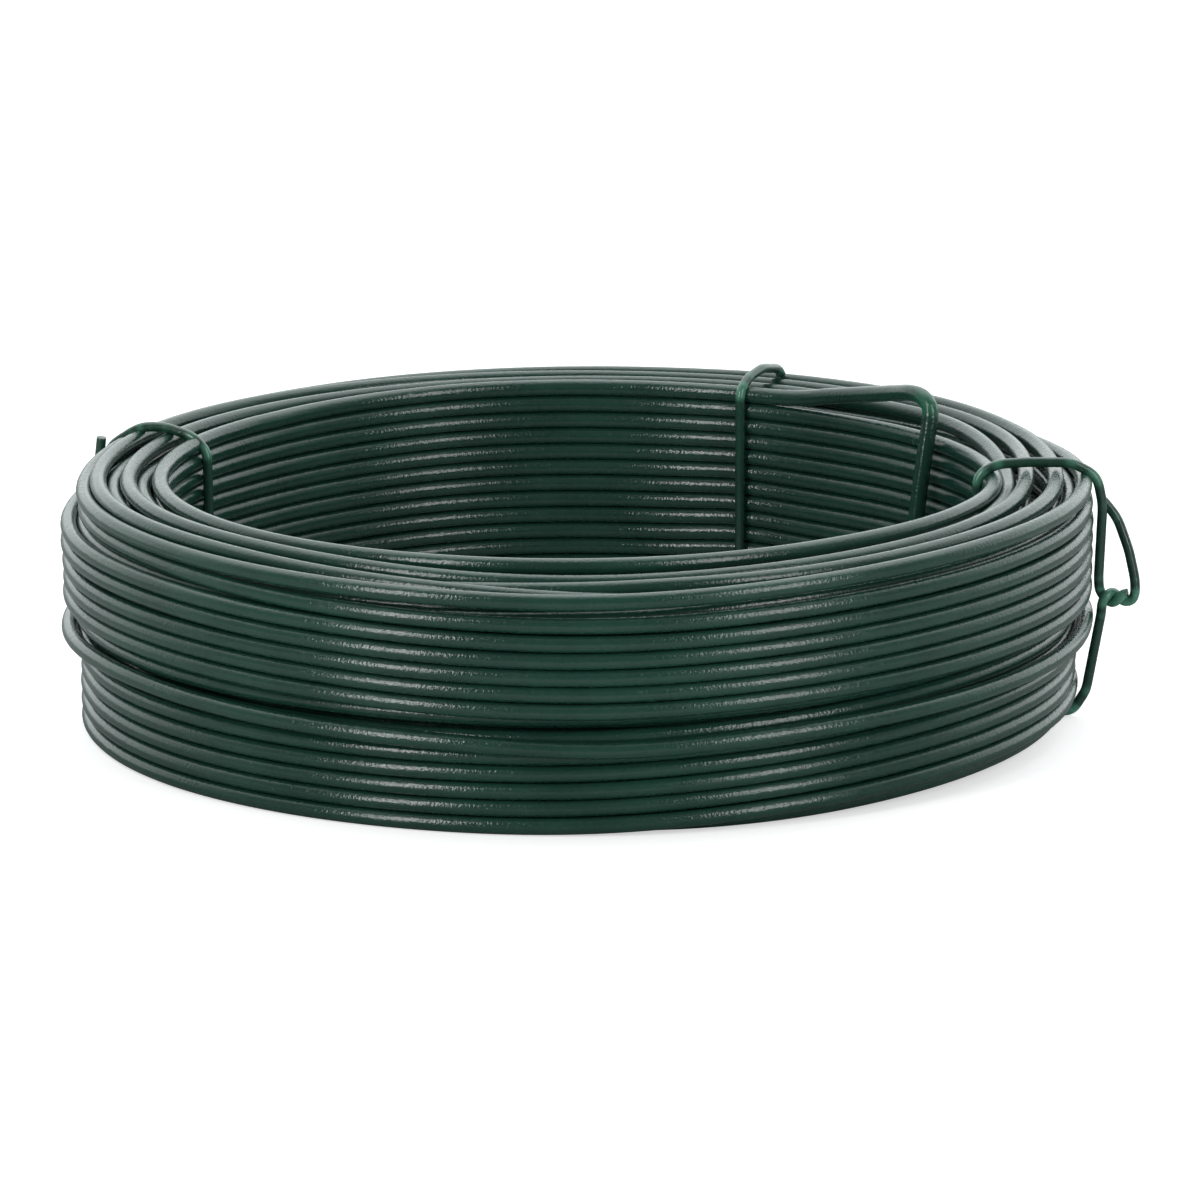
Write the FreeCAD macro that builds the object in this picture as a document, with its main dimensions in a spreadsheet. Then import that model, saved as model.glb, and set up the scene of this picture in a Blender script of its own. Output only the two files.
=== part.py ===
"""Coil of 2 mm plastic-coated binding wire, held by three twisted wire ties.

The coil lies flat. Its axis is the Z axis and it rests on z = 0. The wire lies in layers, one round
the other, and every other layer sits half a turn higher than its neighbours. Each turn that can be
seen from outside is a ridge on the turned winding. The free end of the wire leaves the top turn at
the bore, crosses the bore in a straight line, bends and hangs down inside it.
"""

import FreeCAD
import Part
import Sketcher
import math
import os
import sys

Vector = FreeCAD.Vector

# Driving dimensions, in millimetres and degrees
SIZES = [
    ("wire_diameter", 2.0, "coated wire"),
    ("bore_radius", 49.0, "clear radius inside the innermost turns"),
    ("layer_step", 1.8, "radius gained from one layer to the next"),
    ("turn_pitch", 2.1, "height from one turn to the next in a layer"),
    ("layers", 7, "layers from the bore outwards"),
    ("rows", 14, "turns in a full layer"),
    ("outer_turns", 7, "turns of the outermost layer, round the upper part only"),
    ("lower_turns", 4, "turns of the next layer that show below the loose turn"),
    ("loose_turn_height", 10.0, "centre of the single turn that has slipped down"),
    ("gap_depth", 3.6, "depth of the open row above the loose turn"),
    ("groove_rise", 0.3, "floor of a groove above the line through two turns' centres"),
    ("free_end_azimuth", 64.0, "where the free end leaves the coil"),
    ("corner_azimuth", 26.5, "where the free end turns down"),
    ("corner_rise", 4.9, "rise of the straight run up to its corner"),
    ("corner_bend", 3.2, "bend radius at the corner"),
    ("leg_clearance", 0.3, "between the hanging leg and the turns at the bore"),
    ("leg_lean", 6.0, "lean of the hanging leg from upright"),
    ("leg_drop", 20.0, "length of the hanging leg, from the corner"),
    ("tie_diameter", 1.2, "coated tie wire"),
    ("tie_clearance", 0.1, "between a tie and the turns"),
    ("tie_bend", 2.0, "bend radius at the top of the bore"),
    ("tie_heel", 1.5, "bend radius at the floor"),
    ("tie_shoulder", 4.0, "bend radius where a tie turns down the outside"),
    ("foot_slack", 0.3, "play between the lower turns and a tie's outer leg"),
    ("twist_height", 14.6, "height of the twist above the floor"),
    ("twist_stand_off", 0.6, "how far the legs lean out towards the twist"),
    ("twist_bend", 1.0, "bend radius where the legs turn into the twist"),
    ("twist_gap", 0.2, "play between the two strands"),
    ("twist_lay", 3.0, "length of one full turn of the twist"),
    ("twist_turns", 0.75, "full turns of the twist"),
    ("tail_bend", 1.2, "bend radius where a tail turns up from the twist"),
    ("stub_length", 1.2, "cut end of the lower strand past the twist"),
    ("left_azimuth", 157.0, "left tie"),
    ("left_tail", 14.4, "height of the left tail above the twist"),
    ("back_azimuth", 65.5, "back tie"),
    ("back_tail", 7.0, "height of the back tail above the twist"),
    ("right_azimuth", 0.0, "right tie"),
    ("right_tail", 11.8, "height of the right tail above the twist"),
]

# Flats and steps that round a wire and its bends
ROUND_SIDES = 8
BEND_STEP = 18.0
TWIST_STEP = 45.0

doc = FreeCAD.newDocument("binding_wire_coil")
sheet = doc.addObject("Spreadsheet::Sheet", "Sizes")
for number, (alias, value, note) in enumerate(SIZES, 1):
    sheet.set(f"A{number}", note)
    sheet.set(f"B{number}", str(value))
    sheet.setAlias(f"B{number}", alias)
doc.recompute()


def size(alias):
    return float(sheet.get(alias))


layers = int(size("layers"))
rows = int(size("rows"))


# The winding's section. Each corner is a pair of expressions on the sheet: radius and height.
# A facing says which side of a turn is bare, along the radius and along the height.
INWARD = (-1, 0)
OUTWARD = (1, 0)
UP = (0, 1)
DOWN = (0, -1)


def turn(layer, row):
    """Centre of a turn, with layers counted from 1 at the bore and rows from 0 at the floor."""
    lift = row + 0.5 * (layer % 2)
    return (
        f"Sizes.bore_radius + Sizes.wire_diameter / 2 + {layer - 1} * Sizes.layer_step",
        f"Sizes.wire_diameter / 2 + {lift} * Sizes.turn_pitch",
    )


def crest(centre, facing):
    return tuple(f"{c} + ({f}) * Sizes.wire_diameter / 2" for c, f in zip(centre, facing))


def groove(one, other, facing):
    return tuple(
        f"({a} + {b}) / 2 + ({f}) * Sizes.groove_rise" for a, b, f in zip(one, other, facing)
    )


def ridges(turns, facing):
    """Crest of each turn in order, with the groove between each two."""
    corners = [crest(turns[0], facing)]
    for before, after in zip(turns, turns[1:]):
        corners.append(groove(before, after, facing))
        corners.append(crest(after, facing))
    return corners


def winding_section():
    """Corners from the lowest turn at the bore, up the bore, over the top and down the outside."""
    top_row = rows - 1
    outer_top = top_row - 1
    outer_bottom = outer_top - int(size("outer_turns")) + 1
    lower_top = int(size("lower_turns")) - 1
    outer_lowest = turn(layers, outer_bottom)
    loose = (outer_lowest[0], "Sizes.loose_turn_height")
    gap_floor = f"{crest(outer_lowest, OUTWARD)[0]} - Sizes.gap_depth"

    corners = [crest(turn(1, 0), INWARD), crest(turn(1, top_row), INWARD)]
    top_turns = [turn(layer, top_row) for layer in range(1, layers)]
    corners += ridges(top_turns + [turn(layers, outer_top)], UP)
    corners += ridges([turn(layers, row) for row in range(outer_top, outer_bottom - 1, -1)], OUTWARD)
    corners.append(crest(outer_lowest, DOWN))
    corners.append((gap_floor, crest(outer_lowest, DOWN)[1]))
    corners.append((gap_floor, crest(loose, UP)[1]))
    corners += [crest(loose, facing) for facing in (UP, OUTWARD, DOWN)]
    corners += ridges([turn(layers - 1, row) for row in range(lower_top, -1, -1)], OUTWARD)
    corners += [crest(turn(layer, 0), DOWN) for layer in range(layers - 1, 0, -1)]
    return corners


def value_of(expression):
    result = sheet.evalExpression(expression.replace("Sizes.", ""))
    return float(getattr(result, "Value", result))


def origin_plane(body, role):
    return next(feature for feature in body.Origin.OriginFeatures if feature.Role == role)


def new_sketch(body, name, role):
    sketch = body.newObject("Sketcher::SketchObject", name)
    sketch.AttachmentSupport = [(origin_plane(body, role), "")]
    sketch.MapMode = "FlatFace"
    return sketch


def bind_outline(sketch, corners):
    """Straight-sided closed outline whose corners follow their expressions."""
    places = [Vector(value_of(x), value_of(y), 0) for x, y in corners]
    ends = places[1:] + places[:1]
    sketch.addGeometry([Part.LineSegment(a, b) for a, b in zip(places, ends)], False)
    count = len(places)
    joins = [Sketcher.Constraint("Coincident", i, 2, (i + 1) % count, 1) for i in range(count)]
    sketch.addConstraint(joins)
    for index, (place, (x, y)) in enumerate(zip(places, corners)):
        across = sketch.addConstraint(Sketcher.Constraint("DistanceX", -1, 1, index, 1, place.x))
        sketch.setExpression(f"Constraints[{across}]", x)
        along = sketch.addConstraint(Sketcher.Constraint("DistanceY", -1, 1, index, 1, place.y))
        sketch.setExpression(f"Constraints[{along}]", y)


# Wire coil: one turned winding, seated over the ties, with its free end
coil = doc.addObject("PartDesign::Body", "wire_coil")
coil.Label = "wire_coil"

section = new_sketch(coil, "winding_section", "XZ_Plane")
bind_outline(section, winding_section())
winding = coil.newObject("PartDesign::Revolution", "winding")
winding.Profile = section
winding.ReferenceAxis = (section, ["V_Axis"])
winding.Angle = 360
doc.recompute()

# The lowest turns part over each tie, so that the coil lies flat on them
TIES = ("left", "back", "right")
for name in TIES:
    seat_sketch = new_sketch(coil, f"{name}_seat_outline", "XY_Plane")
    seat_sketch.setExpression("AttachmentOffset.Rotation.Angle", f"Sizes.{name}_azimuth")
    seat_half = "Sizes.tie_diameter / 2 + Sizes.tie_clearance"
    inner = "Sizes.bore_radius - Sizes.tie_diameter"
    outer = "Sizes.bore_radius + Sizes.wire_diameter + Sizes.layers * Sizes.layer_step"
    seat_corners = [
        (inner, f"-({seat_half})"),
        (outer, f"-({seat_half})"),
        (outer, seat_half),
        (inner, seat_half),
    ]
    bind_outline(seat_sketch, seat_corners)
    seat = coil.newObject("PartDesign::Pocket", f"{name}_seat")
    seat.Profile = seat_sketch
    seat.Type = "Length"
    seat.Reversed = True
    seat.setExpression("Length", "Sizes.tie_diameter + Sizes.tie_clearance")
    doc.recompute()

# Free end: a straight rise from the top turn at the bore, a bend and a hanging leg
def place_round(radius, azimuth):
    return f"({radius}) * cos({azimuth} * 1deg)", f"({radius}) * sin({azimuth} * 1deg)"


start_radius, start_height = turn(1, rows - 1)
leg_radius = "Sizes.bore_radius - Sizes.wire_diameter / 2 - Sizes.leg_clearance"
start_x, start_y = place_round(start_radius, "Sizes.free_end_azimuth")
corner_x, corner_y = place_round(leg_radius, "Sizes.corner_azimuth")
run_x = f"({corner_x} - {start_x})"
run_y = f"({corner_y} - {start_y})"

route = new_sketch(coil, "free_end_route", "XZ_Plane")
route.AttachmentOffset = FreeCAD.Placement(Vector(), FreeCAD.Rotation(Vector(0, 1, 0), 1))
route.setExpression("AttachmentOffset.Base.x", start_x)
route.setExpression("AttachmentOffset.Base.y", start_height)
route.setExpression("AttachmentOffset.Base.z", f"-({start_y})")
route.setExpression("AttachmentOffset.Rotation.Angle", f"atan2({run_y}; {run_x})")

corner_place = (f"sqrt({run_x} * {run_x} + {run_y} * {run_y})", "Sizes.corner_rise")
leg_reach = (
    "Sizes.leg_drop * sin(Sizes.leg_lean * 1deg)",
    "Sizes.leg_drop * cos(Sizes.leg_lean * 1deg)",
)
corner = Vector(*(value_of(place) for place in corner_place), 0)
leg_end = corner - Vector(*(value_of(reach) for reach in leg_reach), 0)
route.addGeometry([Part.LineSegment(Vector(), corner), Part.LineSegment(corner, leg_end)], False)
RUN, LEG, BEND, CORNER = range(4)
START, END = 1, 2
route.addConstraint(Sketcher.Constraint("Coincident", RUN, START, -1, START))
route.addConstraint(Sketcher.Constraint("Coincident", RUN, END, LEG, START))
route.fillet(RUN, END, size("corner_bend"), True, True, False)
bindings = [
    (Sketcher.Constraint("DistanceX", -1, START, CORNER, START, corner.x), corner_place[0]),
    (Sketcher.Constraint("DistanceY", -1, START, CORNER, START, corner.y), corner_place[1]),
    (Sketcher.Constraint("DistanceX", LEG, END, CORNER, START, corner.x - leg_end.x), leg_reach[0]),
    (Sketcher.Constraint("DistanceY", LEG, END, CORNER, START, corner.y - leg_end.y), leg_reach[1]),
    (Sketcher.Constraint("Radius", BEND, size("corner_bend")), "Sizes.corner_bend"),
]
for constraint, expression in bindings:
    index = route.addConstraint(constraint)
    route.setExpression(f"Constraints[{index}]", expression)
doc.recompute()

wire_round = coil.newObject("Sketcher::SketchObject", "wire_round")
wire_round.AttachmentSupport = [(route, "Edge1")]
wire_round.MapMode = "NormalToEdge"
wire_sides = [
    place_round("Sizes.wire_diameter / 2", (side + 0.5) * 360 / ROUND_SIDES) for side in range(ROUND_SIDES)
]
bind_outline(wire_round, wire_sides)
free_end = coil.newObject("PartDesign::AdditivePipe", "free_end")
free_end.Profile = wire_round
free_end.Spine = (route, [])
coil.Tip = free_end
doc.recompute()


# Ties: each is one wire, laid round the bundle and twisted with itself outside it
def rounded(corners):
    """Line through the corners, each turned round its bend radius in short even steps."""
    line = [corners[0][0]]
    for (before, _), (point, bend), (after, _) in zip(corners, corners[1:], corners[2:]):
        back = (before - point).normalize()
        ahead = (after - point).normalize()
        swept = math.pi - back.getAngle(ahead)
        if not bend:
            line.append(point)
            continue
        middle = (back + ahead).normalize()
        centre = point + middle * (bend / math.cos(swept / 2))
        across = (ahead - back).normalize()
        steps = max(1, round(math.degrees(swept) / BEND_STEP))
        reach = bend / math.cos(swept / steps / 2)
        for step in range(steps):
            angle = ((step + 0.5) / steps - 0.5) * swept
            line.append(centre + across * (reach * math.sin(angle)) - middle * (reach * math.cos(angle)))
    line.append(corners[-1][0])
    return line


def drawn_wire(line, diameter):
    """Round-sided wire along the line, mitred where the line turns."""
    heading = (line[1] - line[0]).normalize()
    side = heading.cross(Vector(0, 1, 0)).normalize()
    other = heading.cross(side).normalize()
    ring = []
    for number in range(ROUND_SIDES):
        angle = 2 * math.pi * (number + 0.5) / ROUND_SIDES
        ring.append(line[0] + (side * math.cos(angle) + other * math.sin(angle)) * (diameter / 2))
    rings = [ring]
    for index in range(1, len(line)):
        heading = (line[index] - line[index - 1]).normalize()
        onward = (line[index + 1] - line[index]).normalize() if index + 1 < len(line) else heading
        mitre = (heading + onward).normalize()
        slide = heading.dot(mitre)
        ring = [point + heading * ((line[index] - point).dot(mitre) / slide) for point in ring]
        rings.append(ring)
    faces = [Part.Face(Part.makePolygon(end + end[:1])) for end in (rings[0], rings[-1])]
    for near, far in zip(rings, rings[1:]):
        for number in range(ROUND_SIDES):
            after = (number + 1) % ROUND_SIDES
            panel = [near[number], near[after], far[after], far[number], near[number]]
            faces.append(Part.Face(Part.makePolygon(panel)))
    skin = Part.Compound(faces)
    skin.sewShape()
    wire = Part.makeSolid(skin.Shells[0])
    if wire.Volume < 0:
        wire.reverse()
    return wire


def tie_route(tail_height):
    """Corners of a tie's wire and their bends, with X away from the coil's axis."""
    half = size("tie_diameter") / 2
    clear = size("tie_clearance") + half
    coil_outside = size("bore_radius") + size("wire_diameter") + (layers - 1) * size("layer_step")
    coil_top = size("wire_diameter") + (rows - 0.5) * size("turn_pitch")
    inner_leg = size("bore_radius") - clear
    outer_leg = coil_outside + clear
    foot = coil_outside - size("layer_step") + clear + size("foot_slack")
    top = coil_top + clear
    height = size("twist_height")
    axis_gap = half + size("twist_gap") / 2

    # The two strands are half a turn apart on one helix about a line that points outwards
    lead = size("twist_lay") / (2 * math.pi)
    steps = round(360 * size("twist_turns") / TWIST_STEP)
    entry = Vector(lead, axis_gap, 0).normalize()
    straight = 2.3 * half
    start = outer_leg + size("twist_stand_off") + entry.x * straight

    def strand(side):
        points = []
        for step in range(steps + 1):
            angle = 2 * math.pi * size("twist_turns") * step / steps
            sideways = side * axis_gap * math.sin(angle)
            points.append(Vector(start + lead * angle, sideways, height + side * axis_gap * math.cos(angle)))
        return points

    upper, lower = strand(1), strand(-1)
    last_angle = 2 * math.pi * size("twist_turns")
    leaving = Vector(lead, axis_gap * math.cos(last_angle), -axis_gap * math.sin(last_angle)).normalize()
    tail_corner = upper[-1] + leaving * straight
    tail_tip = Vector(outer_leg + 2 * clear, tail_corner.y, height + tail_height)
    stub = Vector(leaving.x, -leaving.y, -leaving.z)

    corners = [(tail_tip, 0), (tail_corner, size("tail_bend"))]
    corners += [(point, 0) for point in reversed(upper)]
    corners += [
        (upper[0] - entry * straight, size("twist_bend")),
        (Vector(outer_leg, 0, top), size("tie_shoulder")),
        (Vector(inner_leg, 0, top), size("tie_bend")),
        (Vector(inner_leg, 0, half), size("tie_heel")),
        (Vector(foot, 0, half), size("tie_heel")),
        (lower[0] - Vector(entry.x, -entry.y, 0) * straight, size("twist_bend")),
    ]
    corners += [(point, 0) for point in lower]
    corners.append((lower[-1] + stub * size("stub_length"), 0))
    return corners


def tie(name):
    """A tie's node, turned to its place round the coil."""
    feature = doc.addObject("Part::Feature", f"tie_{name}")
    feature.Label = f"tie_{name}"
    feature.Shape = drawn_wire(rounded(tie_route(size(f"{name}_tail"))), size("tie_diameter"))
    feature.Placement = FreeCAD.Placement(Vector(), FreeCAD.Rotation(Vector(0, 0, 1), size(f"{name}_azimuth")))
    return feature


pieces = [coil] + [tie(name) for name in TIES]
doc.recompute()

faults = [
    f"{item.Name}: {item.State}"
    for item in doc.Objects
    if "Invalid" in item.State or "Error" in item.State
]
faults += [
    f"{piece.Label}: shape is null or not valid"
    for piece in pieces
    if piece.Shape.isNull() or not piece.Shape.isValid()
]
if faults:
    sys.exit("\n".join(faults))

os.makedirs("parts", exist_ok=True)
for piece in pieces:
    piece.Shape.exportStep(os.path.join("parts", f"{piece.Label}.step"))
    box = piece.Shape.BoundBox
    print(
        f"{piece.Label}: {len(piece.Shape.Solids)} solid, {piece.Shape.Volume:.1f} mm3, "
        f"z {box.ZMin:.2f} to {box.ZMax:.2f}, reach {max(box.XMax, -box.XMin):.2f}"
    )
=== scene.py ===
"""A coil of binding wire: steel wire in a dark green plastic coat, wound in seven layers
and held by three ties of thinner green wire that are twisted shut on the outside."""

import math

import bmesh
import bpy
import numpy as np
from mathutils import Matrix, Vector
from mathutils.kdtree import KDTree


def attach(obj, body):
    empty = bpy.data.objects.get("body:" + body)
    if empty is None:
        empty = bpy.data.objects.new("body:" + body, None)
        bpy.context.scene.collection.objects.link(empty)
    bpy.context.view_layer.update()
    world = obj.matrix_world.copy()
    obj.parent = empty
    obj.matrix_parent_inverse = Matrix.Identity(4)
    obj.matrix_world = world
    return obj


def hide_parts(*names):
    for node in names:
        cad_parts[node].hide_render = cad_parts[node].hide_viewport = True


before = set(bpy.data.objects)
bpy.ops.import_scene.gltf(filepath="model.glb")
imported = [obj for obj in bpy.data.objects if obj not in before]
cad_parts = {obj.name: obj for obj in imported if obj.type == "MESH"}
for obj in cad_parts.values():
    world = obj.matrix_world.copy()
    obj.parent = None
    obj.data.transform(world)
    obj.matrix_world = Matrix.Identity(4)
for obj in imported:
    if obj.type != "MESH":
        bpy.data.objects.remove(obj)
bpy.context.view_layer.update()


# The winding. One steel wire, 2.0 mm thick over its soft plastic coat, is wound turn on turn in
# seven layers, and the ties hold it. A turn lies in the grooves of the layer below, but a few on
# top, behind on the right and round the middle of the outside have come slack.
MM = 0.001
TURN = 360.0
WIRE = 2.0
STATIONS = 180
STEP = TURN / STATIONS
EASED_STATIONS = 13


class Strand:
    """A length of wire as (azimuth, radius, height, hold) knots of its centre line, in degrees
    and millimetres. The azimuth grows by 360 with each turn. Hold is 1 where the wire shows and
    keeps its place, and 0 where it may settle freely."""

    def __init__(self):
        self.knots = []

    def follow(self, start, route):
        """Adds the knots of a route, whose azimuths count from start."""
        for azimuth, radius, height, hold in route:
            self.knots.append((start + azimuth, radius, height, hold))

    def wind(self, start, count, radius, first, pitch, shape, hold):
        """Adds like turns, one pitch apart. shape gives (azimuth, radius, height) offsets for one."""
        for turn in range(count):
            self.follow(start + TURN * turn, [
                (azimuth, radius + wider, first + pitch * turn + higher, hold)
                for azimuth, wider, higher in shape
            ])
        return start + TURN * count

    def cut(self, azimuth):
        """Takes off the wire from an azimuth on."""
        self.knots = [knot for knot in self.knots if knot[0] < azimuth]

    def sampled(self):
        """Station numbers, and (radius, height, hold) rows at every station, with eased corners."""
        knots = np.array(self.knots)
        first = math.ceil(knots[0, 0] / STEP)
        last = math.floor(knots[-1, 0] / STEP)
        station = np.arange(first, last + 1)
        rows = np.stack([np.interp(station * STEP, knots[:, 0], knots[:, k]) for k in (1, 2, 3)], 1)
        window = np.hanning(EASED_STATIONS)
        window /= window.sum()
        margin = EASED_STATIONS // 2
        padded = np.pad(rows, ((margin, margin), (0, 0)), mode="edge")
        return station, np.stack([np.convolve(padded[:, k], window, "valid") for k in range(3)], 1)


def nearest_turn(azimuth):
    """The whole turn nearest to an azimuth, from which a route is counted."""
    return TURN * round(azimuth / TURN)


# The first length starts at the loose end by the back tie and runs down the bore wall, the first
# layer. Its top turn bends away from the wall behind on the right.
LAYERS = (50.0, 51.8, 53.6, 55.4, 57.2, 58.9, 60.8)
LOWEST, HIGHEST = 1.1, 27.65
ROWS = 13
PITCH = 2.05
first_length = Strand()
bore_shape = [
    (0, 0.0, 0.0), (42, 0.0, 0.0), (61, 0.0, -0.35), (90, 0.1, -0.55), (135, 0.0, -0.5),
    (180, 0.1, -0.4), (205, 0.0, -0.35), (245, 0.0, -0.4), (275, 0.0, -0.5), (288, -0.1, -0.6),
    (304, 0.0, -1.0), (323, 0.0, -1.4), (345, 0.0, -1.8),
]
bend_azimuths = (205, 230, 245, 260, 272, 281, 286, 290, 296, 320)
bend_widths = (0.0, -0.7, -1.5, -1.6, -0.9, -0.1, 0.35, 0.2, -0.1, 0.0)
start = 65.0
first_length.follow(start, [
    (azimuth, LAYERS[0] + wider + np.interp(azimuth, bend_azimuths, bend_widths),
     HIGHEST + WIRE + higher, 1.0)
    for azimuth, wider, higher in bore_shape
])
end = first_length.wind(start + TURN, ROWS, LAYERS[0], HIGHEST, -WIRE, bore_shape, hold=0.9)

# It climbs the second layer from the floor, and shows again in the turn on top of it.
rising = [(0, 0.0, 0.0), (120, 0.0, 0.4), (240, 0.0, 0.9), (330, 0.0, 1.7)]
first_length.follow(end, [(40, LAYERS[0], 1.2, 0.5), (110, LAYERS[1], 1.0, 0.3)])
end = first_length.wind(end + 160.0, ROWS - 1, LAYERS[1], LOWEST, PITCH, rising, hold=0.0)
start = nearest_turn(end - 180.0)
first_length.cut(start + 120.0)
first_length.follow(start, [
    (180, 52.2, 28.2, 1.0), (210, 52.0, 27.7, 0.6), (240, 51.8, 27.1, 0.3), (300, 51.8, 27.4, 0.3),
    (345, 51.4, 28.1, 0.8), (363, 51.4, 28.2, 1.0), (371, 51.9, 28.9, 1.0), (384, 53.2, 29.3, 1.0),
    (397, 55.5, 29.2, 1.0), (410, 55.4, 29.1, 1.0), (425, 55.4, 29.1, 1.0), (450, 54.8, 29.1, 1.0),
    (490, 53.7, 29.3, 1.0), (540, 53.8, 29.35, 1.0), (585, 53.7, 29.2, 1.0), (602, 53.6, 28.75, 1.0),
    (618, 53.3, 28.1, 1.0), (634, 53.3, 28.05, 1.0), (650, 53.3, 28.4, 1.0), (668, 53.4, 28.9, 1.0),
    (690, 53.6, 29.2, 1.0), (722, 53.7, 29.35, 1.0), (731, 54.7, 29.3, 1.0), (750, 57.4, 29.2, 1.0),
    (760, 58.3, 29.15, 1.0), (785, 58.7, 29.1, 1.0), (810, 58.4, 29.1, 1.0), (850, 57.9, 29.25, 1.0),
    (900, 57.4, 29.35, 1.0), (945, 57.3, 29.1, 1.0), (962, 57.2, 28.4, 1.0), (978, 57.7, 27.8, 1.0),
    (988, 58.1, 27.3, 1.0), (996, 58.2, 26.8, 0.8), (1010, 57.6, 26.2, 0.4), (1040, 57.2, 26.2, 0.2),
    (1100, 57.2, 26.6, 0.2),
])

# It runs down the fifth layer and up the lower turns of the sixth, which show on the outside
# below the slack place.
falling = [(0, 0.0, 0.0), (120, 0.0, -0.4), (240, 0.0, -0.9), (330, 0.0, -1.7)]
end = first_length.wind(start + 1130.0, 11, LAYERS[4], 26.4, -2.08, falling, hold=0.1)
start = nearest_turn(end - 340.0)
first_length.cut(start + 200.0)
first_length.follow(start, [
    (210, 57.2, 3.0, 0.2), (260, 57.2, 1.3, 0.4), (283, 57.4, 1.0, 0.9), (298, 57.4, 1.2, 1.0),
    (310, 57.4, 1.7, 1.0), (323, 57.4, 2.1, 1.0), (344, 57.6, 2.7, 1.0), (360, 57.9, 2.7, 1.0),
    (380, 58.5, 2.2, 0.9),
])
low_shape = [
    (-14, 0.0, 0.75), (0, 0.0, 0.8), (60, 0.0, 0.4), (180, -0.3, -0.1), (215, 0.2, -0.1),
    (242, 0.1, -0.1), (265, 0.1, 0.0), (274, 0.1, 0.25), (283, 0.1, 0.7), (290, 0.1, 1.15),
    (299, 0.1, 1.6), (308, 0.0, 2.0), (316, 0.0, 2.35), (325, 0.0, 2.6), (334, 0.0, 2.8),
]
LOW_ROWS = 5
LOW_START = 1.08
start += TURN
for row in range(LOW_ROWS):
    height = LOW_START + PITCH * row
    first_length.follow(start + TURN * row, [
        (azimuth, LAYERS[5] + wider, height + higher, 1.0 if azimuth >= 180 else 0.8)
        for azimuth, wider, higher in low_shape
        if azimuth >= 60 or row
    ])
start += TURN * LOW_ROWS

# Two turns lie deep in the slack place between the lower and the upper part of the outside. On
# the left each stands out a little.
for azimuth, height in [
    (0, 12.1), (60, 11.7), (180, 11.3), (242, 11.35), (265, 11.35), (283, 11.8), (299, 12.5),
    (316, 13.1), (334, 13.4), (360, 13.4), (420, 13.4), (540, 13.7), (602, 13.4), (625, 13.4),
    (643, 13.8), (659, 14.5), (676, 15.1), (694, 15.4), (720, 15.5), (780, 15.8),
]:
    wider = 0.5 * math.exp(-(((azimuth - 180.0) % TURN) / 40.0) ** 2)
    first_length.follow(start, [(azimuth, 58.8 + wider, height, 0.7)])
start += TURN * 2

# The upper turns of the sixth layer are hidden. They sag in the middle of the front, as lift
# says, and so do the outer ones. The last one ends just under the top.
lift = [
    (180, 1.2), (210, 1.25), (223, 1.2), (233, 1.0), (242, 0.8), (250, 0.45), (257, 0.25), (265, 0.0),
    (274, 0.0), (283, 0.25), (290, 0.65), (299, 1.0), (308, 1.35), (316, 1.55), (325, 1.75),
    (334, 1.9), (360, 1.95),
]
HIDDEN_ROWS = 4
HIDDEN_START = 15.5
for row in range(HIDDEN_ROWS):
    height = HIDDEN_START + PITCH * row
    first_length.follow(start + TURN * row, [
        (azimuth, LAYERS[5], height + higher, 0.2) for azimuth, higher in lift[::2]
    ])
start += TURN * HIDDEN_ROWS
first_length.follow(start, [
    (180, 58.9, 24.6, 0.4), (242, 58.8, 24.6, 0.5), (262, 58.7, 24.9, 0.6), (274, 58.8, 25.4, 0.8),
    (284, 59.0, 25.8, 1.0), (303, 59.0, 26.6, 1.0), (334, 59.0, 27.2, 0.8), (360, 59.0, 27.5, 0.5),
    (400, 59.0, 27.3, 0.3),
])

# The second length runs hidden down the third layer and up the fourth. It comes out on top in
# front, and crosses to the outside at the right.
second_length = Strand()
end = second_length.wind(120.0, ROWS, LAYERS[2], 27.2, -PITCH, falling, hold=0.1)
second_length.follow(end, [(40, 54.2, 1.0, 0.2), (90, LAYERS[3], 1.0, 0.2)])
end = second_length.wind(end + 130.0, ROWS - 1, LAYERS[3], LOWEST, PITCH, rising, hold=0.0)
start = nearest_turn(end - 180.0)
second_length.cut(start + 120.0)
second_length.follow(start, [
    (180, 55.6, 28.3, 1.0), (205, 55.5, 27.9, 0.8), (230, 55.4, 27.2, 0.4), (248, 55.4, 27.2, 0.6),
    (262, 55.5, 27.7, 1.0), (273, 56.3, 28.1, 1.0), (284, 57.0, 28.3, 1.0), (300, 57.2, 28.8, 1.0),
    (316, 57.3, 29.2, 1.0), (340, 57.3, 29.35, 1.0), (362, 57.3, 29.35, 1.0), (370, 57.6, 29.3, 1.0),
    (382, 59.0, 29.2, 1.0), (391, 59.8, 29.1, 1.0), (403, 60.9, 29.1, 1.0), (425, 60.9, 29.0, 1.0),
    (450, 60.9, 28.95, 1.0), (470, 60.6, 28.9, 1.0), (490, 60.0, 28.65, 1.0), (540, 59.1, 28.2, 1.0),
])

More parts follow.
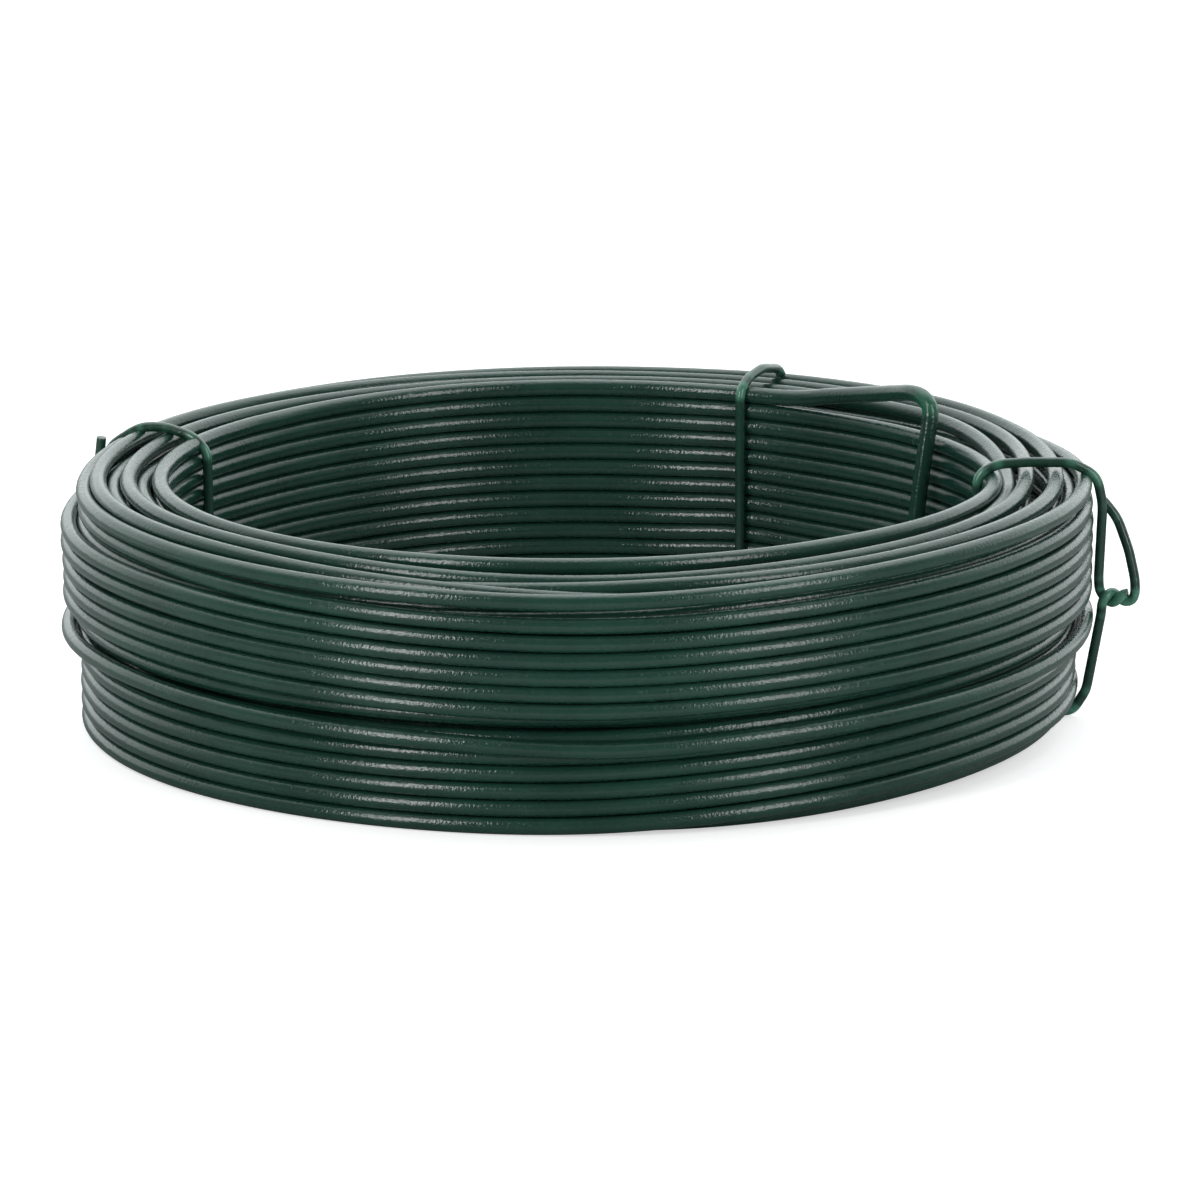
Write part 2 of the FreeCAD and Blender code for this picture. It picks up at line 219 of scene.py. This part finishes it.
# Then it winds down the upper part of the outside. On the left the first two turns lie further
# in and all the later ones stand a little higher, and so does the first one in front.
outer_rows = (27.2, 24.75, 22.6, 20.6, 18.6, 16.55, 14.5)
outer_left = (59.1, 58.8, 61.0, 60.9, 60.8, 60.8, 60.8)
outer_lifted = (0.0, 0.3, 0.5, 0.45, 0.2, 0.2, 0.4)
front_azimuths = (180, 223, 250, 290, 316, 345, 360)
front_heights = (-0.2, -0.1, 0.3, 0.35, 0.5, 0.3, -0.2)
SLACK_TURN = 11.3
BEHIND = 450.0
start += TURN
for row, height in enumerate(outer_rows):
    row_start = start + TURN * row
    top_row = row == 0
    beyond = outer_left[row] - LAYERS[6]
    for azimuth, higher in lift:
        wider = np.interp(azimuth, (180, 205, 242), (beyond, beyond, 0.0))
        wider -= 0.2 * (top_row and azimuth == 360)
        higher += np.interp(azimuth, (180, 210, 232), (1.0, 1.0, 0.0)) * outer_lifted[row]
        higher += np.interp(azimuth, front_azimuths, front_heights) * top_row
        if azimuth > 180 or not top_row:
            second_length.follow(row_start, [(azimuth, LAYERS[6] + wider, height + higher, 1.0)])
    if top_row:
        second_length.follow(row_start, [
            (370, LAYERS[6], 28.6, 1.0), (380, LAYERS[6], 28.1, 1.0), (400, LAYERS[6], 27.4, 1.0)
        ])
    above = height + lift[-1][1]
    below = (*outer_rows, SLACK_TURN)[row + 1] + lift[0][1]
    halfway = (above + below) / 2.0 - 0.3 * top_row
    second_length.follow(row_start, [(BEHIND, 60.9, halfway, 0.9)])
start += TURN * len(outer_rows)

# The last turn has slipped down from the rest, and its cut end lies behind, by the back tie.
for azimuth, height in [
    (180, 11.5), (196, 11.9), (208, 12.0), (222, 11.6), (242, 11.1), (257, 10.7), (266, 10.1),
    (275, 9.8), (283, 10.3), (290, 10.8), (299, 11.2), (308, 11.5), (316, 11.8), (334, 12.2),
    (360, 12.4), (432, 12.2),
]:
    second_length.follow(start, [(azimuth, 60.9, height, 1.0)])

# Both lengths go on one grid of turns by stations, with a slight unevenness of their own.
UNEVEN_RADIUS, UNEVEN_HEIGHT = 0.05, 0.04
DRIFT_STATIONS, DRIFT_MARGIN = 41, 30
chance = np.random.default_rng(11)
lengths = [first_length.sampled(), second_length.sampled()]
blocks = []
for station, rows in lengths:
    drift = chance.normal(0.0, 1.0, (len(rows) + 2 * DRIFT_MARGIN, 2))
    window = np.hanning(DRIFT_STATIONS)
    window /= np.sqrt((window**2).sum())
    drift = np.stack([np.convolve(drift[:, k], window, "same") for k in (0, 1)], 1)
    rows[:, :2] += drift[DRIFT_MARGIN:-DRIFT_MARGIN] * np.array([UNEVEN_RADIUS, UNEVEN_HEIGHT])
    turns = station[-1] // STATIONS - station[0] // STATIONS + 1
    block = np.full((turns * STATIONS, 3), np.nan)
    first = station[0] % STATIONS
    block[first:first + len(rows)] = rows
    blocks.append((block.reshape(turns, STATIONS, 3), first, len(rows)))
grid = np.concatenate([block for block, _, _ in blocks], 0)
real = ~np.isnan(grid[:, :, 0])
target = np.where(np.isnan(grid[:, :, :2]), 1.0e6, grid[:, :, :2])
hold = np.nan_to_num(grid[:, :, 2], nan=1.0)[:, :, None]

# The lower turns rise over each tie, which runs under them. In front the turns above the slack
# place stand half a millimetre higher, and in front on the right the lowest clear the floor.
TIE = 1.2
TIE_AZIMUTHS = (0.0, 65.5, 157.0)
TIE_SPREAD = 7.0
COIL_TOP = 31.0
SLACK_HEIGHTS = (12.3, 9.2)
SLACK_FADE = 0.8
FRONT_RISE = 0.54
TIE_RISE = 1.15
CLEAR_RISE, CLEAR_AZIMUTH, CLEAR_SPREAD = 0.45, 325.0, 22.0
azimuths = np.arange(STATIONS) * STEP
over_tie = np.zeros(STATIONS)
for tie_azimuth in TIE_AZIMUTHS:
    away = (azimuths - tie_azimuth + 180.0) % TURN - 180.0
    over_tie = np.maximum(over_tie, np.exp(-((away / TIE_SPREAD) ** 2)))
below_top = np.clip(1.0 - target[:, :, 1] / COIL_TOP, 0.0, 1.0)
target[:, :, 1] += np.where(real, TIE * over_tie[None, :] * below_top, 0.0)
ahead = np.clip(-np.sin(np.radians(azimuths)), 0.0, None)[None, :]
slack = np.concatenate([np.full(len(block[0]), at) for block, at in zip(blocks, SLACK_HEIGHTS)])
above_slack = np.clip((target[:, :, 1] - slack[:, None]) / SLACK_FADE, 0.0, 1.0)
target[:, :, 1] += np.where(real, FRONT_RISE * ahead * above_slack, 0.0)
cleared = CLEAR_RISE * np.exp(-(((azimuths - CLEAR_AZIMUTH) / CLEAR_SPREAD) ** 2))[None, :]
floor = WIRE / 2.0 + np.maximum(TIE_RISE * over_tie[None, :], cleared)

# Settling: turns that are too close push each other away, the looser one most, and each is drawn
# back to its route, kept in line with its own neighbours, above the floor and out of the bore.
CLOSEST = WIRE + 0.01
LEAST_RADIUS = 48.2
ROUNDS = 70
PUSH = 0.6
PULL, HELD_PULL = 0.02, 0.12
HELD_STIFFNESS = 0.85
place = target.copy()
each = np.arange(len(place))
mobility = 1.0 - HELD_STIFFNESS * hold[:, :, 0]
share = mobility[:, None, :] / (mobility[:, None, :] + mobility[None, :, :])
for settling in range(ROUNDS):
    gap = place[:, None, :, :] - place[None, :, :, :]
    distance = np.sqrt((gap**2).sum(-1)) + 1.0e-9
    short = np.clip(CLOSEST - distance, 0.0, None)
    short[each, each] = 0.0
    place = place + PUSH * (gap / distance[..., None] * (short * share)[..., None]).sum(1)
    place = place + (PULL + HELD_PULL * hold) * (target - place)
    offset = 0
    for block, first, count in blocks:
        line = place[offset:offset + len(block)].reshape(-1, 2)
        run = line[first:first + count]
        run[1:-1] = 0.5 * run[1:-1] + 0.25 * (run[:-2] + run[2:])
        offset += len(block)
    place[:, :, 1] = np.where(real, np.maximum(place[:, :, 1], floor), place[:, :, 1])
    place[:, :, 0] = np.where(real, np.maximum(place[:, :, 0], LEAST_RADIUS), place[:, :, 0])


def centre_line(number):
    """The settled centre line of one length, as (x, y, z) rows in millimetres."""
    offset = sum(len(block) for block, _, _ in blocks[:number])
    block, first, count = blocks[number]
    run = place[offset:offset + len(block)].reshape(-1, 2)[first:first + count]
    angle = np.radians(lengths[number][0] * STEP)
    return np.stack([run[:, 0] * np.cos(angle), run[:, 0] * np.sin(angle), run[:, 1]], 1)


# The coat is soft plastic, drawn over the galvanised steel while hot. It is dark green and satin,
# with a fine orange peel, a few faint scuffs and pale specks. Where the wire is bent hard it is
# painted paler: partly the stretched plastic whitening, partly a painted highlight on the bends.
class Value:
    """A number that varies over a surface, which Python's operators turn into Math nodes."""

    def __init__(self, tree, socket):
        self.tree = tree
        self.socket = socket

    def math(self, operation, *values):
        made = self.tree.nodes.new("ShaderNodeMath")
        made.operation = operation
        for slot, value in zip(made.inputs, values):
            put(self.tree, slot, value)
        return Value(self.tree, made.outputs[0])

    def __add__(self, other):
        return self.math("ADD", self, other)

    def __radd__(self, other):
        return self.math("ADD", other, self)

    def __sub__(self, other):
        return self.math("SUBTRACT", self, other)

    def __rsub__(self, other):
        return self.math("SUBTRACT", other, self)

    def __mul__(self, other):
        return self.math("MULTIPLY", self, other)

    def __rmul__(self, other):
        return self.math("MULTIPLY", other, self)

    def clamp(self):
        return self.math("MINIMUM", self.math("MAXIMUM", self, 0.0), 1.0)


def put(tree, slot, value):
    """Gives a socket a link or a constant."""
    if isinstance(value, Value):
        tree.links.new(value.socket, slot)
    else:
        slot.default_value = value


class Nodes:
    """The nodes of a material or of the room around the coil."""

    def __init__(self, tree):
        self.tree = tree

    def node(self, kind, settings, output, **values):
        """Any node: its settings first, then its sockets, by name or as _number, then the output
        that is wanted, if it has one."""
        made = self.tree.nodes.new("ShaderNode" + kind)
        for key, value in settings.items():
            setattr(made, key, value)
        for key, value in values.items():
            name = int(key[1:]) if key[0] == "_" else key.replace("_", " ")
            put(self.tree, made.inputs[name], value)
        return None if output is None else Value(self.tree, made.outputs[output])

    def noise(self, scale, detail, rough):
        """Noise over the object, with its scale in metres."""
        return self.node(
            "TexNoise", {}, "Fac",
            Vector=self.node("TexCoord", {}, "Object"), Scale=scale, Detail=detail, Roughness=rough,
        )

    def step(self, value, low, high):
        """0 below low, 1 above high and smooth between."""
        return self.node(
            "MapRange", {"interpolation_type": "SMOOTHSTEP"}, 0,
            Value=value, From_Min=low, From_Max=high, To_Min=0.0, To_Max=1.0,
        )

    def mix(self, amount, first, second):
        """A colour between two."""
        return self.node("Mix", {"data_type": "RGBA"}, 2, _0=amount, _6=first, _7=second)


class Finish(Nodes):
    """A material that is being put together."""

    def __init__(self, name):
        self.material = bpy.data.materials.new(name)
        self.material.use_nodes = True
        super().__init__(self.material.node_tree)

    def set(self, **values):
        for key, value in values.items():
            put(self.tree, self.tree.nodes["Principled BSDF"].inputs[key.replace("_", " ")], value)


def plastic_coat(name, deep, bright, scuff, stretched_and_highlight, peel, rough):
    """Satin plastic: two greens that drift along the wire, scuffs, specks and an orange peel.
    Hard bends are paler: partly stretched plastic, partly a painted highlight.
    """
    coat = Finish(name)
    bend = coat.node("Attribute", {"attribute_name": "bend"}, "Fac")
    drift = coat.noise(95.0, 3.0, 0.55)
    grain = coat.noise(1700.0, 2.0, 0.6)
    rubbed = coat.step(coat.noise(420.0, 4.0, 0.65), 0.66, 0.78)
    speck = coat.step(coat.noise(1150.0, 1.0, 0.5), 0.80, 0.84)
    shade = coat.step(drift * 0.75 + grain * 0.25, 0.34, 0.66)
    worn = (rubbed * 0.35 + speck * 0.8).clamp()
    height = coat.noise(3000.0, 2.0, 0.55) * 0.8 + coat.noise(820.0, 1.0, 0.5) * 0.3 - rubbed * 0.2
    # Hard bends get a paler green: partly the plastic whitening as it stretches, partly a painted
    # highlight.
    strained_and_highlit = (bend * (drift * 0.9 + grain * 0.7)).clamp()
    green = coat.mix(strained_and_highlit, coat.mix(shade, deep, bright), stretched_and_highlight)
    coat.set(
        Base_Color=coat.mix(worn, green, scuff),
        Roughness=rough + grain * 0.06 + rubbed * 0.15 + strained_and_highlit * 0.10,
        Normal=coat.node("Bump", {}, "Normal", Height=height, Strength=peel, Distance=0.07 * MM),
        IOR=1.6,
    )
    return coat.material


WIRE_GREEN = plastic_coat(
    "coated_wire",
    deep=(0.0092, 0.0380, 0.0272, 1.0),
    bright=(0.0130, 0.0516, 0.0366, 1.0),
    scuff=(0.045, 0.110, 0.086, 1.0),
    # Paler green of hard bends: stretched plastic, and partly a painted highlight.
    stretched_and_highlight=(0.018, 0.130, 0.075, 1.0),
    peel=1.0,
    rough=0.12,
)


GENTLE_BEND = 0.10
BEND_RANGE = 0.35


def mark_bends(mesh, line):
    """Writes how hard the wire is bent to the mesh, as the attribute bend: 0 is a turn of the
    coil and 1 is a corner of about 2 mm radius."""
    on = np.diff(line, axis=0)
    size = np.linalg.norm(on, axis=1)
    on /= size[:, None]
    curvature = np.zeros(len(line))
    curvature[1:-1] = np.linalg.norm(np.diff(on, axis=0), axis=1) / (0.5 * (size[1:] + size[:-1]))
    tightness = np.clip((curvature - GENTLE_BEND) / BEND_RANGE, 0.0, 1.0)
    tree = KDTree(len(line))
    for number, point in enumerate(line):
        tree.insert(Vector(point) * MM, number)
    tree.balance()
    bend = mesh.attributes.new("bend", "FLOAT", "POINT")
    bend.data.foreach_set("value", [tightness[tree.find(vertex.co)[1]] for vertex in mesh.vertices])


def drawn_wire(name, line, diameter, finish, sides=20, upright=True):
    """Round wire along a line of points in millimetres: a bevelled curve that is made a mesh."""
    curve = bpy.data.curves.new(name, "CURVE")
    curve.dimensions = "3D"
    curve.twist_mode = "Z_UP" if upright else "MINIMUM"
    curve.bevel_depth = diameter * MM / 2.0
    curve.bevel_resolution = (sides - 4) // 2
    curve.use_fill_caps = True
    spline = curve.splines.new("POLY")
    spline.points.add(len(line) - 1)
    spline.points.foreach_set("co", np.c_[line * MM, np.ones(len(line))].ravel())
    spline.use_smooth = True
    maker = bpy.data.objects.new(name + "_line", curve)
    bpy.context.collection.objects.link(maker)
    made = maker.evaluated_get(bpy.context.evaluated_depsgraph_get())
    mesh = bpy.data.meshes.new_from_object(made)
    bpy.data.objects.remove(maker)
    mesh.name = name
    work = bmesh.new()
    work.from_mesh(mesh)
    bmesh.ops.remove_doubles(work, verts=work.verts, dist=1.0e-7)
    bmesh.ops.recalc_face_normals(work, faces=work.faces)
    for face in work.faces:
        face.smooth = len(face.verts) == 4
    work.to_mesh(mesh)
    work.free()
    mesh.materials.clear()
    mesh.materials.append(finish)
    mark_bends(mesh, line)
    piece = bpy.data.objects.new(name, mesh)
    bpy.context.collection.objects.link(piece)
    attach(piece, "root")
    return piece


# The loose end hangs in the bore, bends over square and runs back to the top turn in a straight
# chord that stands a little above the coil.
def through(points, spacing):
    """A smooth line through a few points, by a Catmull-Rom spline."""
    points = np.asarray(points, float)
    ends = np.vstack([2 * points[0] - points[1], points, 2 * points[-1] - points[-2]])
    line = []
    for k in range(1, len(ends) - 2):
        a, b, c, d = ends[k - 1:k + 3]
        slope, curve, twist = c - a, 2 * a - 5 * b + 4 * c - d, 3 * b - a - 3 * c + d
        steps = max(2, int(np.linalg.norm(c - b) / spacing))
        for t in np.linspace(0.0, 1.0, steps, endpoint=False):
            line.append(0.5 * (2 * b + slope * t + curve * t**2 + twist * t**3))
    line.append(points[-1])
    return np.array(line)


inner = centre_line(0)
outer = centre_line(1)
loose_end = [
    (40.5, 20.7, 13.6), (41.26, 21.0, 19.9), (41.78, 21.2, 24.3), (42.4, 21.4, 28.7),
    (42.85, 21.6, 31.8), (42.8, 21.9, 33.3), (41.95, 23.2, 34.25), (40.6, 25.3, 34.3),
    (38.75, 28.5, 33.6), (36.0, 32.5, 32.6), (31.1, 38.3, 31.1), (26.3, 42.3, 30.0),
]
MERGED = 39
chord = through([*loose_end, *inner[2:MERGED:6]], spacing=0.8)
joined = np.vstack([chord, inner[MERGED:]])
added = len(joined) - len(inner)


def in_pieces(line, ends, names, loose_points=0):
    """Cuts a length in pieces after so many turns, where other turns hide the joints. The bore
    wall's piece isn't drawn upright, because the loose end runs straight up."""
    marks = [0, *(loose_points + int(turns * STATIONS) for turns in ends), len(line) - 1]
    for name, begin, end in zip(names, marks, marks[1:]):
        piece = drawn_wire(
            name, line[begin:end + 1], WIRE, WIRE_GREEN,
            upright=name != "bore_wall_turns",
        )
        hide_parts("wire_coil")


in_pieces(
    joined, (15.2, 24.0, 38.0),
    ("bore_wall_turns", "second_layer_turns", "fifth_layer_turns", "sixth_layer_turns"), added,
)
in_pieces(outer, (12.5, 24.5), ("third_layer_turns", "fourth_layer_turns", "outside_turns"))


# The three ties. Each is one length of thinner steel wire in a brighter green coat, which goes
# under the coil, up through the bore and over the top. Its two ends are twisted together outside,
# and then one is bent up and the other cut off short.
TIE_GREEN = plastic_coat(
    "tie_wire",
    deep=(0.0120, 0.0430, 0.0285, 1.0),
    bright=(0.0175, 0.0640, 0.0425, 1.0),
    scuff=(0.050, 0.140, 0.100, 1.0),
    # Paler green of the ties' bends and twists: stretched plastic, and partly a painted highlight.
    stretched_and_highlight=(0.075, 0.240, 0.165, 1.0),
    peel=0.6,
    rough=0.14,
)
TWIST_HEIGHT = 14.6
TWIST_LAY = 3.5
TWIST_START, TWIST_END = 63.1, 65.6
TWIST_STEPS = 24
STRAND_OFFSET = 0.63


def bent(corners):
    """Straight runs of wire with round bends, from (radius out, aside, height, bend) corners."""
    points = [np.array(corners[0][:3], float)]
    for before, corner, after in zip(corners, corners[1:], corners[2:]):
        middle = np.array(corner[:3], float)
        back = np.array(before[:3], float) - middle
        on = np.array(after[:3], float) - middle
        back_length, on_length = np.linalg.norm(back), np.linalg.norm(on)
        back, on = back / back_length, on / on_length
        half = 0.5 * math.acos(max(-1.0, min(1.0, float(back @ on))))
        reach = min(corner[3] / math.tan(half), 0.49 * back_length, 0.49 * on_length)
        radius = reach * math.tan(half)
        centre = middle + (back + on) / np.linalg.norm(back + on) * radius / math.sin(half)
        start, end = middle + back * reach - centre, middle + on * reach - centre
        whole = math.pi - 2.0 * half
        for part in np.linspace(0.0, 1.0, max(3, int(math.degrees(whole) / 9.0))):
            arm = math.sin((1 - part) * whole) * start + math.sin(part * whole) * end
            points.append(centre + arm / math.sin(whole))
    points.append(np.array(corners[-1][:3], float))
    return points


def evened(points, spacing, window):
    """The same line in equal steps, with its kinks eased."""
    points = np.asarray(points)
    along = np.r_[0.0, np.cumsum(np.linalg.norm(np.diff(points, axis=0), axis=1))]
    steps = np.linspace(0.0, along[-1], int(along[-1] / spacing))
    line = np.stack([np.interp(steps, along, points[:, k]) for k in range(3)], 1)
    weight = np.hanning(window + 2)[1:-1]
    weight /= weight.sum()
    half = window // 2
    padded = np.vstack([
        2 * line[0] - line[half:0:-1], line, 2 * line[-1] - line[-2:-half - 2:-1]
    ])
    return np.stack([np.convolve(padded[:, k], weight, "valid") for k in range(3)], 1)


def strand(places, phase):
    """One of the two strands of a twist, as (radius out, aside, height) points."""
    points = []
    for out in places:
        angle = math.radians(phase - TURN * (out - TWIST_START) / TWIST_LAY)
        points.append(
            (out, STRAND_OFFSET * math.cos(angle), TWIST_HEIGHT + STRAND_OFFSET * math.sin(angle))
        )
    return points


def tie(name, azimuth, tail, over, stub):
    """tail and over are corners: of the end that is bent up, and of the run up the bore's wall and
    over the top. The other end is cut off, and its stub stands out of the twist."""
    places = [(TWIST_START - TWIST_END) * k / TWIST_STEPS + TWIST_END for k in range(TWIST_STEPS + 1)]
    lower = strand(places, phase=195.0)
    upper = strand(reversed(places), phase=15.0)
    points = bent([*tail, (66.6, lower[0][1], 14.0, 0.9), (*lower[0], 0.5)])[:-1]
    points += lower
    points += bent([
        (63.0, -0.62, TWIST_HEIGHT - 0.6, 0.5), (62.9, -0.35, 12.6, 1.0), (61.2, 0.0, 3.2, 2.2),
        (59.6, 0.0, 0.6, 1.6), (49.6, 0.0, 0.6, 1.2), (48.3, 0.0, 2.0, 1.2), *over,
        (62.6, 0.3, 17.0, 1.2), (62.7, 0.6, TWIST_HEIGHT + 0.9, 0.6), (*upper[0], 0.5),
    ])[:-1]
    points += upper
    points.append((upper[-1][0] + stub, upper[-1][1] - 0.15, upper[-1][2] + 0.05))
    line = evened(points, spacing=0.28, window=5)
    turn = math.radians(azimuth)
    out, aside = line[:, 0].copy(), line[:, 1].copy()
    line[:, 0] = out * math.cos(turn) - aside * math.sin(turn)
    line[:, 1] = out * math.sin(turn) + aside * math.cos(turn)
    piece = drawn_wire(name + "_wire", line, TIE, TIE_GREEN, sides=16, upright=False)
    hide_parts(name)


tie(
    "tie_right", TIE_AZIMUTHS[0],
    [(63.1, 1.2, 26.3), (64.8, 0.65, 24.3, 5.0), (66.2, 0.1, 20.4, 9.0), (66.95, -0.1, 16.9, 5.0),
     (67.0, -0.3, 15.2, 0.9)],
    [(47.9, 0.0, 29.7, 2.0), (50.4, 0.0, 31.0, 2.5), (54.0, 0.0, 31.25, 4.0), (59.2, 0.0, 31.2, 3.0),
     (62.3, 0.0, 29.6, 2.6), (63.0, 0.0, 26.0, 6.0)],
    stub=0.5,
)
tie(
    "tie_back", TIE_AZIMUTHS[1],
    [(66.0, 0.4, 21.6), (66.5, 0.2, 18.0, 4.0), (66.9, -0.3, 15.6, 0.9)],
    [(48.4, 0.0, 30.6, 1.6), (51.0, 0.0, 31.7, 3.0), (55.0, 0.0, 32.1, 6.0), (60.1, 0.0, 31.1, 2.5),
     (62.6, 0.0, 28.3, 2.5)],
    stub=0.6,
)
tie(
    "tie_left", TIE_AZIMUTHS[2],
    [(62.5, 1.0, 29.2), (62.9, 0.9, 26.0, 8.0), (64.5, 0.6, 21.5, 6.0), (66.2, 0.1, 17.0, 4.0),
     (66.9, -0.3, 15.4, 0.9)],
    [(48.4, 0.9, 28.6, 2.0), (50.5, 0.7, 30.3, 2.5), (54.0, 0.4, 31.0, 5.0), (57.5, 0.2, 30.9, 5.0),
     (62.4, 0.0, 27.6, 4.0)],
    stub=0.4,
)


# The floor is a sheet of white paper. The camera sees it glow, so that it is white up to the
# shadow, and the wires mirror a greyer floor than the camera sees.
WHITE = (1.0, 1.0, 1.0, 1.0)
BLACK = (0.0, 0.0, 0.0, 1.0)
paper = Finish("floor_paper")
mirrored = paper.node("LightPath", {}, "Is Glossy Ray")
looked_at = paper.node("LightPath", {}, "Is Camera Ray")
paper.set(
    Base_Color=paper.mix(mirrored, (0.82, 0.82, 0.82, 1.0), (0.30, 0.30, 0.30, 1.0)),
    Roughness=0.9,
    Emission_Color=paper.mix(looked_at, BLACK, WHITE),
    Emission_Strength=0.55,
)
work = bmesh.new()
bmesh.ops.create_grid(work, x_segments=1, y_segments=1, size=4.0)
sheet = bpy.data.meshes.new("floor")
work.to_mesh(sheet)
work.free()
sheet.materials.append(paper.material)
floor_piece = bpy.data.objects.new("floor", sheet)
bpy.context.collection.objects.link(floor_piece)


# The room is pale over the coil and behind it, most so behind on the right, and dark in front.
# The camera sees it plain white. Two soft boxes in front, left and right, give the highlights.
world = bpy.data.worlds.new("studio")
bpy.context.scene.world = world
world.use_nodes = True
room = Nodes(world.node_tree)
for old in list(room.tree.nodes):
    room.tree.nodes.remove(old)
direction = room.node("TexCoord", {}, "Generated")
sideways = room.node("SeparateXYZ", {}, 0, Vector=direction)
away = room.node("SeparateXYZ", {}, 1, Vector=direction)
upward = room.node("SeparateXYZ", {}, 2, Vector=direction)
behind = away.math("POWER", away.math("MAXIMUM", away, 0.0), 0.9)
level = room.step(away, -0.6, 0.0) * 0.14 + 0.12
level = level + behind * (sideways * 0.40 + sideways * sideways * 0.75 + 1.36)
level = level + room.step(upward, 0.45, 0.95) * room.step(away, -0.45, 0.35) * 1.35
surround = room.node("Background", {}, 0, Color=(0.94, 1.0, 1.0, 1.0), Strength=level)
white = room.node("Background", {}, 0, Color=WHITE, Strength=1.0)
seen = room.node("LightPath", {}, "Is Camera Ray")
either = room.node("MixShader", {}, 0, _0=seen, _1=surround, _2=white)
room.node("OutputWorld", {}, None, Surface=either)


LAMP_DISTANCE = 0.9
LIT_POINT = Vector((0.0, 0.0, 0.015))


def soft_box(name, direction, width, height, power):
    """An area lamp that faces the coil from a direction."""
    lamp = bpy.data.lights.new(name, "AREA")
    lamp.shape = "RECTANGLE"
    lamp.size = width
    lamp.size_y = height
    lamp.energy = power
    holder = bpy.data.objects.new(name, lamp)
    bpy.context.collection.objects.link(holder)
    stand = Vector(direction).normalized() * LAMP_DISTANCE + LIT_POINT
    facing = (-Vector(direction)).to_track_quat("-Z", "Y").to_matrix().to_4x4()
    holder.matrix_world = Matrix.Translation(stand) @ facing


soft_box("left_box", (-0.597, -0.691, 0.365), width=0.20, height=0.72, power=3.4)
soft_box("right_box", (0.630, -0.661, 0.365), width=0.28, height=0.72, power=2.7)


# The camera stands in front, 13 degrees above the coil, with a long lens.
eye = bpy.data.cameras.new("camera")
eye.sensor_width = 36.0
eye.lens = 375.3
eye.clip_end = 20.0
camera = bpy.data.objects.new("camera", eye)
bpy.context.collection.objects.link(camera)
stand = Vector((0.0, -1.4641, 0.3547))
aim = Vector((0.0027, 0.0, 0.0143))
facing = (aim - stand).to_track_quat("-Z", "Y").to_matrix().to_4x4()
camera.matrix_world = Matrix.Translation(stand) @ facing
bpy.context.scene.camera = camera
bpy.context.scene.view_settings.view_transform = "Standard"
